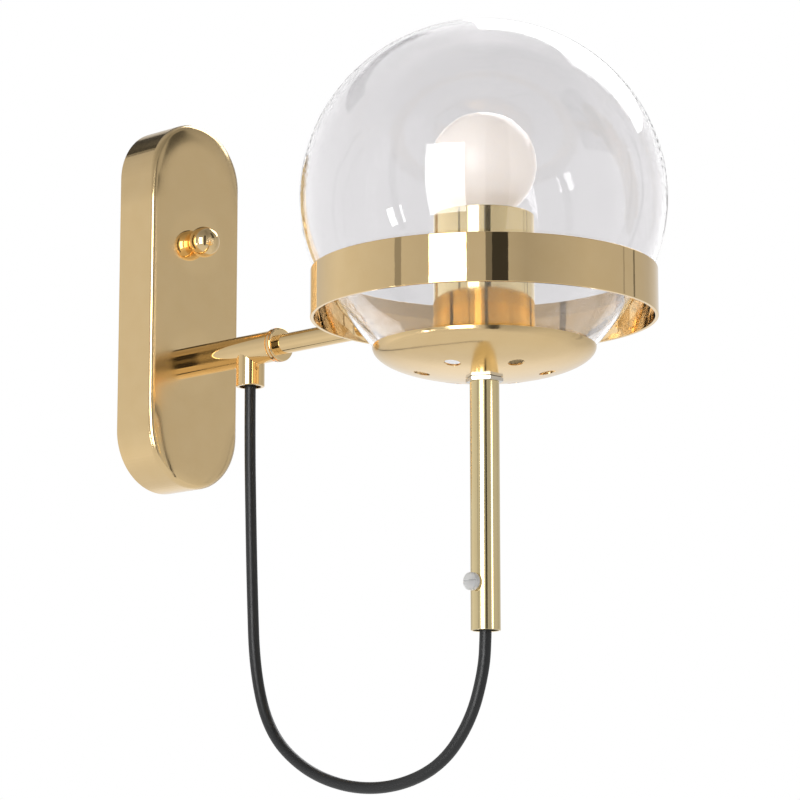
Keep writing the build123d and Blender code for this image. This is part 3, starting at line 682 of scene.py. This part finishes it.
# (azimuth, half width, sine of the elevation, half height, brightness, brightness in a mirror)
ROOM_SHAPES = [
    (-161.2, 12.2, -0.02, 0.38, 3.0, 6.5),  # tall softbox, left of the camera
    (163.0, 5.5, -0.31, 0.085, 2.0, 9.0),  # small low lamp
    (16.0, 28.0, 0.635, 0.185, 2.0, 3.2),  # long lamp behind and above
    (-134.4, 2.0, 0.0, 0.60, 0.2, 0.2),  # the camera and its stand
    (-127.1, 5.3, 0.0, 0.60, 0.05, 0.05),
    (164.7, 2.5, 0.10, 0.55, 0.35, 0.35),  # stands and edges of the backdrop
    (-21.4, 1.0, 0.10, 0.50, 0.2, 0.2),
    (-33.2, 0.8, 0.10, 0.50, 0.4, 0.4),
    (-60.0, 12.0, 0.57, 0.23, 0.1, 0.1),
    (80.0, 26.0, 0.645, 0.055, 0.05, 0.05),
]
# How much brighter the walls are to what is mirrored behind glass, and at each further mirror
LIFT_BEHIND_GLASS = 0.9
LIFT_PER_MIRROR = 0.5

world = bpy.data.worlds.new("studio")
world.use_nodes = True
bpy.context.scene.world = world
tree = world.node_tree
tree.nodes.clear()
direction = add(tree, "ShaderNodeTexCoord").outputs["Generated"]
towards = add(tree, "ShaderNodeSeparateXYZ", {0: direction}).outputs
azimuth = add(tree, "ShaderNodeMath", {0: towards["Y"], 1: towards["X"]}, operation="ARCTAN2")
degrees = add(tree, "ShaderNodeMath", {0: azimuth.outputs[0], 1: 180 / math.pi}, operation="MULTIPLY")
rays = add(tree, "ShaderNodeLightPath").outputs


def level_ramp(value, low, high, levels, top):
    """A brightness that follows a value, from stops of (value, brightness) up to top."""
    share = add(tree, "ShaderNodeMapRange", {"Value": value, "From Min": low, "From Max": high})
    ramp = add(tree, "ShaderNodeValToRGB", {"Fac": share.outputs["Result"]})
    stops = ramp.color_ramp.elements
    while len(stops) < len(levels):
        stops.new(0.5)
    for stop, (at, level) in zip(stops, sorted(levels)):
        stop.position = (at - low) / (high - low)
        stop.color = (level / top, level / top, level / top, 1)
    return add(tree, "ShaderNodeMath", {0: ramp.outputs["Color"], 1: top}, operation="MULTIPLY").outputs[0]


walls = level_ramp(degrees.outputs[0], -180, 180, WALL_LEVELS, 1.0)
heights = level_ramp(towards["Z"], -1, 1, HEIGHT_LEVELS, 2.0)
room = add(tree, "ShaderNodeMath", {0: walls, 1: heights}, operation="MULTIPLY").outputs[0]

behind_glass = add(
    tree,
    "ShaderNodeMath",
    {0: rays["Is Transmission Ray"], 1: LIFT_BEHIND_GLASS, 2: 1.0},
    operation="MULTIPLY_ADD",
)
mirrors_after_first = add(tree, "ShaderNodeMath", {0: rays["Glossy Depth"], 1: 1.0}, operation="SUBTRACT")
further_mirrors = add(
    tree, "ShaderNodeMath", {0: mirrors_after_first.outputs[0], 1: 0.0}, operation="MAXIMUM"
)
in_mirrors = add(
    tree,
    "ShaderNodeMath",
    {0: further_mirrors.outputs[0], 1: LIFT_PER_MIRROR, 2: 1.0},
    operation="MULTIPLY_ADD",
)
lift = add(
    tree, "ShaderNodeMath", {0: behind_glass.outputs[0], 1: in_mirrors.outputs[0]}, operation="MULTIPLY"
)
room = add(tree, "ShaderNodeMath", {0: room, 1: lift.outputs[0]}, operation="MULTIPLY").outputs[0]

for at, half_width, height, half_height, brightness, mirrored in ROOM_SHAPES:
    across = add(
        tree, "ShaderNodeMath", {0: degrees.outputs[0], 1: at, 2: half_width}, operation="COMPARE"
    )
    upright = add(tree, "ShaderNodeMath", {0: towards["Z"], 1: height, 2: half_height}, operation="COMPARE")
    both = add(tree, "ShaderNodeMath", {0: across.outputs[0], 1: upright.outputs[0]}, operation="MULTIPLY")
    glow = add(
        tree, "ShaderNodeMix", {0: rays["Is Glossy Ray"], 2: brightness, 3: mirrored}, data_type="FLOAT"
    )
    room = add(
        tree, "ShaderNodeMix", {0: both.outputs[0], 2: room, 3: glow.outputs[0]}, data_type="FLOAT"
    ).outputs[0]

# White to the camera, and to what it sees straight through the glass
bounces = add(
    tree, "ShaderNodeMath", {0: rays["Glossy Depth"], 1: rays["Diffuse Depth"]}, operation="ADD"
)
straight = add(tree, "ShaderNodeMath", {0: bounces.outputs[0], 1: 0.5}, operation="LESS_THAN")
through = add(
    tree, "ShaderNodeMath", {0: rays["Is Transmission Ray"], 1: straight.outputs[0]}, operation="MULTIPLY"
)
seen = add(tree, "ShaderNodeMath", {0: rays["Is Camera Ray"], 1: through.outputs[0]}, operation="MAXIMUM")
shown = add(tree, "ShaderNodeMix", {0: seen.outputs[0], 2: room, 3: 1.0}, data_type="FLOAT")
background = add(tree, "ShaderNodeBackground", {"Color": (1, 1, 1, 1), "Strength": shown.outputs[0]})
world_output = add(tree, "ShaderNodeOutputWorld")
tree.links.new(background.outputs["Background"], world_output.inputs["Surface"])

# --- Low card -----------------------------------------------------------------------------

# A small card beside the down tube, whose glint runs down the tube's right side. It lights the
# tube alone.
CARD_WIDTH = 0.13
CARD_HEIGHT = 0.20
CARD_BRIGHTNESS = 2.6
CARD_PLACE = (0.073, -0.858, -0.07)
TUBE_MIDDLE = (0, -0.262, -0.15)

card_light = bpy.data.lights.new("low_card", "AREA")
card_light.shape = "RECTANGLE"
card_light.size = CARD_WIDTH
card_light.size_y = CARD_HEIGHT
card_light.energy = CARD_BRIGHTNESS * math.pi * CARD_WIDTH * CARD_HEIGHT
card = bpy.data.objects.new("low_card", card_light)
card.location = CARD_PLACE
card.rotation_mode = "QUATERNION"
card.rotation_quaternion = (Vector(TUBE_MIDDLE) - Vector(CARD_PLACE)).to_track_quat("-Z", "Y")
card.visible_camera = False
tube_only = bpy.data.collections.new("lit_by_low_card")
tube_only.objects.link(nodes["down_tube"])
card.light_linking.receiver_collection = tube_only
bpy.context.scene.collection.objects.link(card)

bpy.context.scene.view_settings.view_transform = "Standard"
